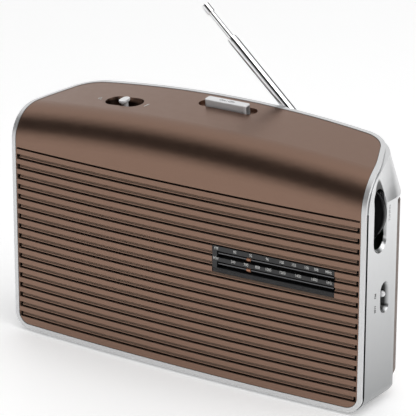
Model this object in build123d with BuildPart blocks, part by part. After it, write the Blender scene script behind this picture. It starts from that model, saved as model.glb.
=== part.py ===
from build123d import *
import math
import os

os.makedirs("parts", exist_ok=True)

# Portable radio: louvred front cover in a silver surround, silver shell, brown rear cover.
# X runs to the right, Y to the rear, Z up. The origin is the middle of the footprint on the desk.

# ---- overall ----
half_width = 150.0
depth = 83.7
front_bow = 4.5
front_y = -depth / 2 + front_bow
foot_height = 2.0
surround_width = 3.7
cover_base = foot_height + surround_width
shell_base = foot_height
rear_y = depth / 2

# ---- front cover sheet ----
cover_half = 146.0
top_crown = 9.0
edge_radius = 26.0
top_slope = 7.0
flat_height = 141.0
sheet_thickness = 2.8
bow_radius = (cover_half**2 + front_bow**2) / (2 * front_bow)
crown_radius = (cover_half**2 + top_crown**2) / (2 * top_crown)
front_mid_y = front_y - front_bow
bow_axis_y = front_mid_y + bow_radius

# ---- louvres ----
slot_count = 18
slot_pitch = 7.68
slot_height = 1.5
first_slot_z = cover_base + 136.3
slot_half = 145.2
groove_half = 144.0
pocket_width = 2.2
lip_depth = 0.6
lip_height = 0.6
facet_depth = 1.6
groove_height = 2.6

# ---- surround and shell ----
surround_thickness = 2.0
groove_gap = 0.9
seat_inset = surround_thickness + groove_gap
flange_inset = 6.2
wall = 2.5
cap_z = cover_base + 138.0
lean_z = cover_base + 143.0
lean_top_z = cover_base + 180.0
split_y = front_y + 43.5
cap_corner = 35.0
cap_bow = 6.2
top_limit = 260.0

# ---- rear cover and battery door ----
rear_half = half_width - 0.8
rear_corner = 24.0
rear_bow = 3.0
rear_low = cover_base + 8.0
rear_gap = 0.3
seam_z = cover_base + 79.0
door_low = cover_base + 14.0
inlet_x = -112.0
inlet_z = cover_base + 100.0
jack_x = 112.0
jack_z = cover_base + 96.0
jack_radius = 3.1
screw_radius = 3.2

# ---- dial ----
window_left = 29.2
window_right = 126.9
window_top = cover_base + 97.9
window_bottom = cover_base + 78.2
dial_margin = 0.25
rod_radius = 0.9
pointer_x = 58.5
rod_heights = (cover_base + 92.3, cover_base + 84.6)

# ---- antenna ----
antenna_y = front_y + 75.0
antenna_x = 58.5
antenna_z = cover_base + 164.0
antenna_angle = 42.2
swivel_radius = 6.5


def arc_drop(radius, x):
    """How far an arc of this radius falls away from its middle at x."""
    return radius - math.sqrt(radius**2 - x**2)


def front_surface_y(x):
    return front_mid_y + arc_drop(bow_radius, x)


def top_surface_z(x, y):
    slope = math.radians(top_slope)
    run = y - front_y - edge_radius * (1 - math.sin(slope))
    middle = cover_base + flat_height + edge_radius * math.cos(slope) + top_crown
    return middle + (run + front_bow) * math.tan(slope) - arc_drop(crown_radius, x)


def behind_sheet(inset):
    """Everything behind the front and top surfaces, moved inwards by inset."""
    slope = math.radians(top_slope)
    reach = half_width + 20
    plane_y = front_mid_y + edge_radius
    plane_z = cover_base + flat_height + top_crown + edge_radius / math.cos(slope)
    with BuildPart() as block:
        with BuildSketch(Plane.XY.offset(-20)):
            with Locations((0, bow_axis_y)):
                Circle(bow_radius - inset)
            with Locations((0, 0)):
                Rectangle(2 * reach, 220, mode=Mode.INTERSECT)
        extrude(amount=top_limit)
        arch = Plane(origin=(0, plane_y, plane_z), x_dir=(1, 0, 0),
                     z_dir=(0, -math.cos(slope), -math.sin(slope)))
        with BuildSketch(arch):
            with Locations((0, -crown_radius)):
                Circle(crown_radius - inset)
            Rectangle(2 * reach + 10, 460, mode=Mode.INTERSECT)
        extrude(amount=160, both=True, mode=Mode.INTERSECT)
        corner = (0, front_mid_y + inset, plane_z)
        fillet(block.edges().sort_by_distance(corner)[0], edge_radius - inset)
    return block.part


def rounded_plan(half, lean_radius, lean_angle, taper_length, corner_radius, corner_angle, rear_bow):
    """Outline seen from above: sides that lean in, then turn round the rear corners."""
    with BuildSketch() as plan:
        with BuildLine() as edge:
            side = Line((half, -90), (half, front_y - 6))
            lean = JernArc(side @ 1, side % 1, radius=lean_radius, arc_size=lean_angle)
            taper = PolarLine(lean @ 1, taper_length, direction=lean % 1)
            turn = JernArc(taper @ 1, taper % 1, radius=corner_radius, arc_size=corner_angle)
            mirror(edge.line, about=Plane.YZ)
            end = turn @ 1
            ThreePointArc(end, (0, end.Y + rear_bow), (-end.X, end.Y))
            Line((half, -90), (-half, -90))
        make_face()
    return plan.sketch


def cover_plan(grow):
    """Outline of the cover seen from above, larger by grow."""
    return rounded_plan(cover_half + grow, 100 + grow, 24, 18, 22 + grow, 62, 2.7)


def shell_plan(inset):
    """Outline of the shell seen from above at the cap, smaller by inset."""
    return rounded_plan(half_width - inset, 3000 - inset, 0.5, 18, cap_corner - inset, 83, cap_bow)


def front_prism(grow, rear_limit=120):
    """Column with the outline of the cover seen from the front: rounded bottom corners."""
    half = cover_half + grow
    bottom = cover_base - grow
    with BuildPart() as column:
        with BuildSketch(Plane.XZ):
            with Locations((0, bottom + top_limit / 2)):
                RectangleRounded(2 * half, top_limit, 9 + max(grow, -6))
        extrude(amount=rear_limit, both=True)
    return column.part


def cover_prism(grow):
    """Volume inside the cover's edge, larger by grow on every side."""
    with BuildPart() as column:
        with BuildSketch(Plane.XY.offset(-10)):
            add(cover_plan(grow))
        extrude(amount=top_limit)
        add(front_prism(grow), mode=Mode.INTERSECT)
    return column.part


def save(shape, name):
    shape.label = name
    export_step(shape, "parts/" + name + ".step")


# ---- front cover ----
volume_x = -72.3
volume_y = front_y + 34.0
key_x = 4.7
key_y = front_y + 51.8
key_length = 35.0
key_width = 7.0
boss_depth = 8.5
well_depth = 6.0

with BuildPart() as bosses:
    # thicker patches under the slider recess and the key recess
    with BuildSketch(Plane.XY.offset(cover_base + 120)):
        with Locations((volume_x, volume_y)):
            SlotOverall(36, 20)
        with Locations((key_x, key_y + 0.7)):
            SlotOverall(58, 17)
    extrude(amount=100)
    add(behind_sheet(sheet_thickness - 0.2), mode=Mode.INTERSECT)
    add(behind_sheet(boss_depth), mode=Mode.SUBTRACT)

volume_z = top_surface_z(volume_x, volume_y)
recess_plane = Plane(origin=(volume_x, volume_y, volume_z), x_dir=(1, 0, 0.06), z_dir=(-0.06, -0.12, 1))
key_z = top_surface_z(key_x, key_y)
key_plane = Plane(origin=(key_x, key_y, key_z), x_dir=(1, 0, 0), z_dir=(0, -0.12, 1))

with BuildPart() as front_cover:
    add(behind_sheet(0))
    add(cover_prism(0), mode=Mode.INTERSECT)
    add(behind_sheet(sheet_thickness), mode=Mode.SUBTRACT)
    add(bosses.part)
    # slots that let the sound out
    with BuildSketch(Plane.XZ.offset(-front_y - 8)):
        for index in range(slot_count):
            with Locations((0, first_slot_z - index * slot_pitch)):
                Rectangle(2 * slot_half, slot_height)
    extrude(amount=20, mode=Mode.SUBTRACT)
    # ledge below each bar, set back, with a facet that faces up
    bow_axis = Axis((0, bow_axis_y, 0), (0, 0, 1))
    groove_turn = math.degrees(math.asin(groove_half / bow_radius))
    for index in range(1, slot_count):
        ledge_z = first_slot_z - index * slot_pitch + slot_height / 2
        for turn in (groove_turn, -groove_turn):
            with BuildSketch(Plane.YZ):
                with BuildLine():
                    Polyline((front_mid_y - 2, ledge_z - 0.1), (front_mid_y + lip_depth, ledge_z - 0.1),
                             (front_mid_y + lip_depth, ledge_z + lip_height),
                             (front_mid_y + facet_depth, ledge_z + groove_height - 0.3),
                             (front_mid_y + facet_depth, ledge_z + groove_height),
                             (front_mid_y - 2, ledge_z + groove_height), close=True)
                make_face()
            revolve(axis=bow_axis, revolution_arc=turn, mode=Mode.SUBTRACT)
    # open pockets where the ledges stop short of the sides
    with BuildSketch(Plane.XZ.offset(-front_y - 8)):
        for index in range(1, slot_count):
            middle = first_slot_z - index * slot_pitch + groove_height / 2
            for side in (-1, 1):
                with Locations((side * (slot_half - pocket_width / 2), middle)):
                    Rectangle(pocket_width, slot_height + groove_height)
    extrude(amount=20, mode=Mode.SUBTRACT)
    # dial window
    with BuildSketch(Plane.XZ.offset(-front_y - 8)):
        with Locations(((window_left + window_right) / 2, (window_top + window_bottom) / 2)):
            Rectangle(window_right - window_left, window_top - window_bottom)
    extrude(amount=20, mode=Mode.SUBTRACT)
    # slider recess with a through slot for the stem
    with BuildSketch(recess_plane.offset(4)):
        SlotOverall(33, 18.5)
    with BuildSketch(recess_plane.offset(-well_depth)):
        SlotOverall(28, 13.5)
    loft(mode=Mode.SUBTRACT)
    with BuildSketch(recess_plane.offset(-12)):
        SlotOverall(18, 3)
    extrude(amount=16, mode=Mode.SUBTRACT)
    # key recess with an opening for the key
    with BuildSketch(key_plane.offset(-2.6)):
        with Locations((0, 0.5)):
            SlotOverall(48, 11.5)
    extrude(amount=9, mode=Mode.SUBTRACT)
    with BuildSketch(key_plane.offset(-20)):
        RectangleRounded(key_length + 0.8, key_width + 0.8, 2.2)
    extrude(amount=30, mode=Mode.SUBTRACT)
save(front_cover.part, "front_cover")

# ---- silver surround ----
with BuildPart() as skirt:
    add(behind_sheet(surround_thickness - 0.2))
    add(cover_prism(surround_width - 1.1), mode=Mode.INTERSECT)
    add(behind_sheet(seat_inset), mode=Mode.SUBTRACT)

with BuildPart() as surround:
    add(behind_sheet(-0.3))
    add(cover_prism(surround_width), mode=Mode.INTERSECT)
    add(behind_sheet(surround_thickness), mode=Mode.SUBTRACT)
    add(skirt.part)
    add(cover_prism(0.35), mode=Mode.SUBTRACT)
save(surround.part, "surround")

# ---- silver shell ----
wheel_slot_y = front_y + 19.4
wheel_slot_z = cover_base + 133.1
band_y = front_y + 27.9
band_z = cover_base + 74.7
ledge_y = front_y + 70.6
ledge_floor = cover_base + 157.0
ledge_left = -84.0
ledge_right = 76.0


def shell_solid(inset, low):
    """Shell volume below and above the lean line, moved inwards by inset, from height low."""
    with BuildPart() as solid:
        with BuildSketch(Plane.XY.offset(low)):
            add(shell_plan(inset))
        extrude(amount=lean_z - low)
        with BuildSketch(Plane.XY.offset(lean_z)):
            add(shell_plan(inset))
        with BuildSketch(Plane.XY.offset(lean_top_z)):
            add(cover_plan(surround_width + 0.4 - inset))
        loft(ruled=True)
        with BuildSketch(Plane.XY.offset(lean_top_z)):
            add(cover_plan(surround_width + 0.4 - inset))
        extrude(amount=12, taper=6)
    return solid.part


with BuildPart() as cap_edge:
    # rounded lower edge of the cap
    for height, inset in ((0, 4.0), (1.2, 1.2), (4.2, 0)):
        with BuildSketch(Plane.XY.offset(cap_z + height)):
            add(shell_plan(inset))
    loft(ruled=True)

ledge_middle = (ledge_left + ledge_right) / 2
ledge_length = ledge_right - ledge_left

with BuildPart() as hollow:
    # the room below the cap, then the cap itself
    add(shell_solid(wall, cap_z + wall))
    with BuildSketch(Plane.XY.offset(shell_base + wall)):
        with Locations((0, front_y - 20)):
            Rectangle(2 * (half_width - wall), 140, align=(Align.CENTER, Align.MIN))
    extrude(amount=cap_z - shell_base)
    with BuildSketch(Plane.XY.offset(ledge_floor - wall)):
        with Locations((ledge_middle, ledge_y - wall)):
            Rectangle(ledge_length + 2 * wall, 40, align=(Align.CENTER, Align.MIN))
    extrude(amount=60, mode=Mode.SUBTRACT)
    with BuildSketch(Plane.XY.offset(shell_base)):
        with Locations((0, split_y + 21)):
            Rectangle(400, 60, align=(Align.CENTER, Align.MIN))
    extrude(amount=cap_z + wall - shell_base, mode=Mode.SUBTRACT)
    # the low rear wall under the rear cover stays
    with BuildSketch(Plane.XY.offset(shell_base)):
        with Locations((0, split_y - 6)):
            Rectangle(400, 60, align=(Align.CENTER, Align.MIN))
    extrude(amount=rear_low - rear_gap - shell_base, mode=Mode.SUBTRACT)
    add(behind_sheet(flange_inset), mode=Mode.INTERSECT)
    add(front_prism(half_width - cover_half - wall), mode=Mode.INTERSECT)

with BuildPart() as opening:
    # front opening inside the flange
    add(cover_prism(-1.0))
    add(behind_sheet(flange_inset + 0.1), mode=Mode.SUBTRACT)

with BuildPart() as shell:
    add(shell_solid(0, shell_base))
    # the rear cover's space below the cap
    with BuildSketch(Plane.XY.offset(-5)):
        with Locations((0, split_y + 60)):
            Rectangle(400, 120)
    extrude(amount=cap_z + 4.2 + 5, mode=Mode.SUBTRACT)
    add(cap_edge.part)
    add(front_prism(surround_width + 0.3), mode=Mode.INTERSECT)
    # rounded lower rear edge
    with BuildSketch(Plane.YZ):
        with Locations((split_y, shell_base)):
            Rectangle(16, 16)
        with Locations((split_y - 8, shell_base + 8)):
            Circle(8, mode=Mode.SUBTRACT)
            Rectangle(8, 16, align=(Align.MAX, Align.CENTER), mode=Mode.SUBTRACT)
            Rectangle(16, 8, align=(Align.CENTER, Align.MIN), mode=Mode.SUBTRACT)
    extrude(amount=200, both=True, mode=Mode.SUBTRACT)
    add(behind_sheet(seat_inset), mode=Mode.INTERSECT)
    add(hollow.part, mode=Mode.SUBTRACT)
    add(opening.part, mode=Mode.SUBTRACT)
    # ledge behind the ridge for the antenna
    with BuildSketch(Plane.XY.offset(ledge_floor)):
        with Locations((ledge_middle, ledge_y)):
            Rectangle(ledge_length, 40, align=(Align.CENTER, Align.MIN))
    extrude(amount=60, mode=Mode.SUBTRACT)
    # opening in the ledge's wall for the antenna swivel
    with BuildSketch(Plane.XZ.offset(-ledge_y + 6)):
        with Locations((antenna_x, antenna_z)):
            Circle(swivel_radius + 0.3)
    extrude(amount=-8, mode=Mode.SUBTRACT)
    # tuning wheel slot, wider at its mouth
    slot_plane = Plane(origin=(half_width, wheel_slot_y, wheel_slot_z), x_dir=(0, 0, 1), z_dir=(1, 0, 0))
    with BuildSketch(slot_plane.offset(-8)):
        SlotOverall(43, 16.2)
    extrude(amount=12, mode=Mode.SUBTRACT)
    with BuildSketch(slot_plane.offset(-2.2)):
        SlotOverall(43, 16.2)
    with BuildSketch(slot_plane.offset(0.3)):
        SlotOverall(48.5, 17.6)
    loft(mode=Mode.SUBTRACT)
    # band switch pocket: a boss behind the wall, a dished recess and a slot for the stem
    band_plane = Plane(origin=(half_width, band_y, band_z), x_dir=(0, 0, 1), z_dir=(1, 0, 0))
    with BuildSketch(band_plane.offset(-6)):
        SlotOverall(27, 16)
    extrude(amount=5)
    with BuildSketch(band_plane.offset(-4.2)):
        SlotOverall(17, 6)
    with BuildSketch(band_plane.offset(0.2)):
        SlotOverall(23.4, 12.6)
    loft(mode=Mode.SUBTRACT)
    with BuildSketch(band_plane.offset(-8)):
        SlotOverall(7.2, 2.6)
    extrude(amount=6, mode=Mode.SUBTRACT)
save(shell.part, "shell")

# ---- rear cover and battery door ----


def rear_plan(inset):
    """Outline of the rear cover seen from above, smaller by inset."""
    half = rear_half - inset
    with BuildSketch() as plan:
        with BuildLine() as edge:
            side = Line((half, front_y + 20), (half, front_y + 41))
            turn = JernArc(side @ 1, (0, 1), radius=rear_corner - inset, arc_size=86)
            mirror(edge.line, about=Plane.YZ)
            end = turn @ 1
            ThreePointArc(end, (0, end.Y + rear_bow), (-end.X, end.Y))
        make_hull()
    return plan.sketch


def rear_block(inset, low, high):
    """Rear cover volume, smaller by inset, with a rounded lower rear edge."""
    with BuildPart() as block:
        with BuildSketch(Plane.XY.offset(low)):
            add(rear_plan(inset + 5))
        with BuildSketch(Plane.XY.offset(low + 1.5)):
            add(rear_plan(inset + 1.5))
        with BuildSketch(Plane.XY.offset(low + 5)):
            add(rear_plan(inset))
        with BuildSketch(Plane.XY.offset(high)):
            add(rear_plan(inset))
        loft(ruled=True)
        with BuildSketch(Plane.XY.offset(low - 1)):
            with Locations((0, split_y + rear_gap)):
                Rectangle(400, 80, align=(Align.CENTER, Align.MIN))
        extrude(amount=high - low + 2, mode=Mode.INTERSECT)
    return block.part


rear_top = cap_z - rear_gap

with BuildPart() as rear_room:
    add(rear_block(wall, rear_low + wall, rear_top - wall))
    with BuildSketch(Plane.XY.offset(rear_low + wall)):
        with Locations((0, split_y)):
            Rectangle(288, 12, align=(Align.CENTER, Align.MIN))
    extrude(amount=rear_top - rear_low - 2 * wall)

with BuildPart() as rear_cover:
    add(rear_block(0, rear_low, rear_top))
    # plinth that reaches down to the rear feet
    with BuildSketch(Plane.XY.offset(shell_base)):
        with Locations((0, front_y + 46)):
            Rectangle(236, 16.5, align=(Align.CENTER, Align.MIN))
    extrude(amount=rear_low + 4 - shell_base)
    add(rear_room.part, mode=Mode.SUBTRACT)
    # the battery door's place
    with BuildSketch(Plane.XY.offset(door_low)):
        with Locations((0, front_y + 50)):
            Rectangle(400, 60, align=(Align.CENTER, Align.MIN))
    extrude(amount=seam_z - door_low, mode=Mode.SUBTRACT)
    # openings: mains inlet, headphone socket, warm air
    with BuildSketch(Plane.XZ.offset(-front_y - 50)):
        with Locations((inlet_x, inlet_z)):
            RectangleRounded(24, 14, 3)
        with Locations((jack_x, jack_z)):
            Circle(jack_radius)
        with Locations((-30, cover_base + 112)):
            with GridLocations(9, 0, 7, 1):
                SlotOverall(22, 2.4, rotation=90)
        with Locations((0, cover_base + 125)):
            with GridLocations(200, 0, 2, 1):
                Circle(screw_radius + 0.2)
        with Locations((0, cover_base + 88)):
            with GridLocations(150, 0, 2, 1):
                Circle(screw_radius + 0.2)
    extrude(amount=-30, mode=Mode.SUBTRACT)
save(rear_cover.part, "rear_cover")

with BuildPart() as battery_door:
    add(rear_block(0, rear_low, rear_top))
    add(rear_room.part, mode=Mode.SUBTRACT)
    with BuildSketch(Plane.XY.offset(door_low + rear_gap)):
        with Locations((0, front_y + 50 + rear_gap)):
            Rectangle(400, 60, align=(Align.CENTER, Align.MIN))
    extrude(amount=seam_z - door_low - 2 * rear_gap, mode=Mode.INTERSECT)
    # two finger grips
    with BuildSketch(Plane.XZ.offset(-front_y - 66.4)):
        with Locations((-60, seam_z - 9), (60, seam_z - 9)):
            SlotOverall(22, 8)
    extrude(amount=-6, mode=Mode.SUBTRACT)
save(battery_door.part, "battery_door")

# ---- case screws ----
with BuildPart() as case_screws:
    for spot_x, spot_y, spot_z in ((100, 65.9, 125), (75, 66.7, 88)):
        for side in (-1, 1):
            head = Plane(origin=(side * spot_x, front_y + spot_y, cover_base + spot_z), x_dir=(1, 0, 0),
                         z_dir=(0, 1, 0))
            with BuildSketch(head):
                Circle(screw_radius)
            extrude(amount=-12)
            with BuildSketch(head):
                Rectangle(4.2, 0.9)
                Rectangle(0.9, 4.2)
            extrude(amount=-1.2, mode=Mode.SUBTRACT)
save(case_screws.part, "case_screws")

# ---- feet ----
with BuildPart() as feet:
    with Locations((-118, front_y + 13), (118, front_y + 13), (-104, front_y + 54.2), (104, front_y + 54.2)):
        Cylinder(7, foot_height, align=(Align.CENTER, Align.CENTER, Align.MIN))
save(feet.part, "feet")

# ---- dial ----
rod_left = window_left + 4.6
rod_right = window_right - 0.6
rod_depth = 2.0
rod_left_y = front_surface_y(rod_left) + rod_depth
rod_right_y = front_surface_y(rod_right) + rod_depth
rod_run = Vector(rod_right - rod_left, rod_right_y - rod_left_y, 0).normalized()
pointer_y = rod_left_y + (pointer_x - rod_left) * rod_run.Y / rod_run.X
channel_depth = 4.8
bead_radius = 1.6
plate_depth = 6.4


def bowed_layer(near, far, left, right, low, high):
    """A plate that follows the front's bow between two depths."""
    with BuildPart() as plate:
        with BuildSketch(Plane.XY.offset(low)):
            with Locations((0, bow_axis_y)):
                Circle(bow_radius - near)
                Circle(bow_radius - far, mode=Mode.SUBTRACT)
            with Locations(((left + right) / 2, front_y)):
                Rectangle(right - left, 60, mode=Mode.INTERSECT)
        extrude(amount=high - low)
    return plate.part


with BuildPart() as dial_plate:
    left = window_left + dial_margin
    right = window_right - dial_margin
    low = window_bottom + dial_margin
    high = window_top - dial_margin
    add(bowed_layer(0.1, plate_depth, left, right, low, high))
    add(bowed_layer(sheet_thickness + 0.1, 4.4, left - 3, right + 3, low - 3, high + 3))
    for height in rod_heights:
        add(bowed_layer(-1, channel_depth, rod_left - 0.6, right + 0.01, height - 2.85, height + 1.9),
            mode=Mode.SUBTRACT)
        add(bowed_layer(-1, plate_depth + 1, 42, 118, height - 0.9, height + 0.9), mode=Mode.SUBTRACT)
save(dial_plate.part, "dial_plate")

# ---- black cloth behind the louvres ----
cloth_front = sheet_thickness + 0.12
with BuildPart() as grille_cloth:
    add(bowed_layer(cloth_front, cloth_front + 0.2, -144, 144, cover_base + 8, cover_base + 139))
    with BuildSketch(Plane.XZ.offset(-front_y - 20)):
        with Locations(((window_left + window_right) / 2, (window_top + window_bottom) / 2)):
            Rectangle(window_right - window_left + 8, window_top - window_bottom + 8)
    extrude(amount=40, mode=Mode.SUBTRACT)
save(grille_cloth.part, "grille_cloth")

with BuildPart() as dial_rods:
    for height in rod_heights:
        with BuildSketch(Plane(origin=(rod_left - 0.5, rod_left_y - 0.5 * rod_run.Y, height), z_dir=rod_run)):
            Circle(rod_radius)
        extrude(amount=(rod_right - rod_left) / rod_run.X)
save(dial_rods.part, "dial_rods")

with BuildPart() as pointer:
    for height in rod_heights:
        bead = Plane(origin=(pointer_x, pointer_y, height), x_dir=(0, 0, 1), z_dir=rod_run)
        with BuildSketch(bead):
            Circle(bead_radius)
        extrude(amount=bead_radius, both=True)
        neck = Plane(origin=(pointer_x, pointer_y, height), x_dir=rod_run, z_dir=(0, 0, 1))
        with BuildSketch(neck.offset(-0.6)):
            with Locations((0, 3.6)):
                Rectangle(1.6, 5)
        extrude(amount=1.2)
    for height in rod_heights:
        bead = Plane(origin=(pointer_x, pointer_y, height), x_dir=(0, 0, 1), z_dir=rod_run)
        with BuildSketch(bead):
            Circle(rod_radius + 0.3)
        extrude(amount=3, both=True, mode=Mode.SUBTRACT)
    carriage = Plane(origin=(pointer_x, pointer_y, rod_heights[1] - 1.5), x_dir=rod_run, z_dir=(0, 0, 1))
    with BuildSketch(carriage):
        with Locations((0, 5.7)):
            Rectangle(6, 1.2)
    extrude(amount=rod_heights[0] - rod_heights[1] + 3)
save(pointer.part, "pointer")

# ---- tuning wheel ----
wheel_radius = 23.5
wheel_x = half_width - wheel_radius
wheel_z = cover_base + 134.5
wheel_face_y = front_y + 24.6
wheel_thickness = 2.6
wheel_plane = Plane(origin=(wheel_x, wheel_face_y, wheel_z), x_dir=(1, 0, 0), z_dir=(0, 1, 0))
shaft_radius = 3.0

with BuildPart() as tuning_wheel:
    with BuildSketch(wheel_plane):
        Circle(wheel_radius)
    extrude(amount=wheel_thickness)
    chamfer(tuning_wheel.edges().filter_by(GeomType.CIRCLE), 0.5)
    with BuildSketch(wheel_plane):
        Circle(wheel_radius - 1.6)
    extrude(amount=0.5, mode=Mode.SUBTRACT)
    with BuildSketch(wheel_plane.offset(wheel_thickness)):
        Circle(7)
    extrude(amount=3)
    with BuildSketch(wheel_plane):
        Circle(shaft_radius)
    extrude(amount=8, mode=Mode.SUBTRACT)
save(tuning_wheel.part, "tuning_wheel")

with BuildPart() as tuning_shaft:
    with BuildSketch(wheel_plane.offset(0.8)):
        Circle(shaft_radius)
    extrude(amount=12)
save(tuning_shaft.part, "tuning_shaft")

tuner_front = 6.9
with BuildPart() as tuning_capacitor:
    with BuildSketch(wheel_plane.offset(tuner_front)):
        RectangleRounded(22, 22, 1)
    extrude(amount=9.4)
    with BuildSketch(wheel_plane.offset(tuner_front)):
        Circle(shaft_radius + 0.05)
    extrude(amount=7, mode=Mode.SUBTRACT)
save(tuning_capacitor.part, "tuning_capacitor")

# ---- volume slider ----
with BuildPart() as volume_nub:
    with BuildSketch(recess_plane.offset(-14)):
        RectangleRounded(3, 2.2, 0.6)
    extrude(amount=11)
    with BuildSketch(recess_plane.offset(-5)):
        Circle(2.3)
    with BuildSketch(recess_plane.offset(0.2)):
        Circle(2.7)
    loft()
    with BuildSketch(recess_plane.offset(0.2)):
        SlotOverall(9.6, 6.2, rotation=90)
    extrude(amount=1.9)
    fillet(volume_nub.edges().group_by(Axis.Z)[-1], 0.6)
save(volume_nub.part, "volume_nub")

with BuildPart() as volume_slider_body:
    with BuildSketch(recess_plane.offset(-17)):
        Rectangle(40, 11)
    extrude(amount=7.6)
    with BuildSketch(recess_plane.offset(-15)):
        Rectangle(30, 3.4)
    extrude(amount=8, mode=Mode.SUBTRACT)
save(volume_slider_body.part, "volume_slider_body")

# ---- power key ----
key_rise = 6.0
key_wall = 1.2
with BuildPart() as power_key:
    with BuildSketch(key_plane.offset(-7)):
        RectangleRounded(key_length, key_width, 1.9)
    extrude(amount=7 + key_rise - 1.4)
    fillet(power_key.edges().group_by(Axis.Z)[-1], 0.6)
    with BuildSketch(key_plane.offset(-8)):
        with Locations((4, 0)):
            Rectangle(key_length, key_width - 2 * key_wall)
    extrude(amount=8 + key_rise - 1.4 - key_wall, mode=Mode.SUBTRACT)
    with BuildSketch(key_plane.offset(-9)):
        with Locations((-4, 0)):
            Rectangle(6, key_width - 2 * key_wall)
    extrude(amount=12)
save(power_key.part, "power_key")

with BuildPart() as power_switch:
    with BuildSketch(key_plane.offset(-20)):
        with Locations((-4, 0)):
            Rectangle(14, 10)
    extrude(amount=9)
save(power_switch.part, "power_switch")

# ---- band switch ----
nub_z = band_z + 2.0
with BuildPart() as band_nub:
    with Locations((half_width - 2.2, band_y, nub_z)):
        Sphere(2.2)
    with BuildSketch(Plane(origin=(half_width - 10, band_y, nub_z), z_dir=(1, 0, 0))):
        Circle(1.0)
    extrude(amount=8)
save(band_nub.part, "band_nub")

with BuildPart() as band_switch:
    with BuildSketch(Plane(origin=(half_width - 6.4, band_y, band_z), x_dir=(0, 0, 1), z_dir=(-1, 0, 0))):
        Rectangle(22, 11)
    extrude(amount=7)
    with BuildSketch(Plane(origin=(half_width - 6.4, band_y, band_z), x_dir=(0, 0, 1), z_dir=(-1, 0, 0))):
        SlotOverall(7.2, 2.8)
    extrude(amount=4.5, mode=Mode.SUBTRACT)
save(band_switch.part, "band_switch")

# ---- loudspeaker ----
speaker_x = -72.0
speaker_z = cover_base + 78.0
speaker_axis = Axis((speaker_x, 0, speaker_z), (0, 1, 0))
flange_y = front_y + 2.0
basket_end = front_y + 24.0


def turned(points, name):
    """Ring-shaped piece turned about the loudspeaker's axis from (radius, y) corners."""
    with BuildPart() as piece:
        with BuildSketch(Plane.XY.offset(speaker_z)):
            with BuildLine():
                Polyline(*[(speaker_x + radius, y) for radius, y in points], close=True)
            make_face()
        revolve(axis=speaker_axis)
    save(piece.part, name)


turned([(45, flange_y), (51, flange_y), (51, flange_y + 1.5), (46, flange_y + 1.5), (27, basket_end),
        (14, basket_end), (14, basket_end - 1.2), (26.4, basket_end - 1.2), (45, flange_y + 1.5)],
       "speaker_basket")
turned([(44.6, flange_y + 0.6), (42, flange_y - 0.6), (39.5, flange_y + 0.6), (12.5, basket_end - 5),
        (12.5, basket_end - 4), (39.5, flange_y + 2.0), (44.6, flange_y + 1.5)], "speaker_cone")
turned([(0, basket_end - 7.5), (8, basket_end - 6.2), (12.3, basket_end - 4.5), (12.3, basket_end - 3.5),
        (0, basket_end - 6.5)], "speaker_dust_cap")
turned([(0, basket_end), (27, basket_end), (27, basket_end + 11), (20, basket_end + 11),
        (20, basket_end + 14), (0, basket_end + 14)], "speaker_magnet")

with BuildPart() as speaker_screws:
    for across in (-1, 1):
        for along in (-1, 1):
            spot = (speaker_x + across * 37.3, flange_y + 1.5, speaker_z + along * 37.3)
            with BuildSketch(Plane(origin=spot, z_dir=(0, 1, 0))):
                Circle(4.2)
            extrude(amount=1.8)
            with BuildSketch(Plane(origin=spot, z_dir=(0, 1, 0)).offset(1.8)):
                Rectangle(4.6, 0.9)
            extrude(amount=-0.8, mode=Mode.SUBTRACT)
save(speaker_screws.part, "speaker_screws")

# ---- main board ----
board_y = front_y + 41.0
with BuildPart() as main_board:
    with BuildSketch(Plane.XZ.offset(-board_y)):
        with Locations((75, cover_base + 95)):
            Rectangle(136, 76)
    extrude(amount=-1.6)
save(main_board.part, "main_board")

with BuildPart() as board_posts:
    for post_x, post_length in ((14, 21.8), (134, 16.4)):
        with BuildSketch(Plane.XZ.offset(-board_y - 1.6)):
            with Locations((post_x, cover_base + 84), (post_x, cover_base + 128)):
                Circle(3)
        extrude(amount=-post_length)
save(board_posts.part, "board_posts")

with BuildPart() as board_chips:
    with BuildSketch(Plane.XZ.offset(-board_y)):
        with Locations((60, cover_base + 110)):
            Rectangle(24, 8)
        with Locations((40, cover_base + 80)):
            Rectangle(14, 7)
    extrude(amount=3)
    with BuildSketch(Plane.XZ.offset(-board_y)):
        for across, height, radius in ((90, 70, 5), (104, 70, 5), (24, 104, 4), (90, 120, 3)):
            with Locations((across, cover_base + height)):
                Circle(radius)
    extrude(amount=13)
save(board_chips.part, "board_components")

# ---- mains transformer, inlet and headphone socket ----
core_x = -123.0
core_z = cover_base + 70.5
core_y = front_y + 42.0
with BuildPart() as transformer_core:
    with BuildSketch(Plane.XZ.offset(-core_y + 8)):
        with Locations((core_x, core_z)):
            Rectangle(34, 38)
            with Locations((0, 11), (0, -11)):
                Rectangle(24, 8, mode=Mode.SUBTRACT)
    extrude(amount=-16)
save(transformer_core.part, "transformer_core")

with BuildPart() as transformer_coil:
    with BuildSketch(Plane.YZ.offset(core_x - 11.6)):
        with Locations((core_y, core_z)):
            Rectangle(24, 29)
            Rectangle(16.4, 14.4, mode=Mode.SUBTRACT)
    extrude(amount=23.2)
save(transformer_coil.part, "transformer_coil")

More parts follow.
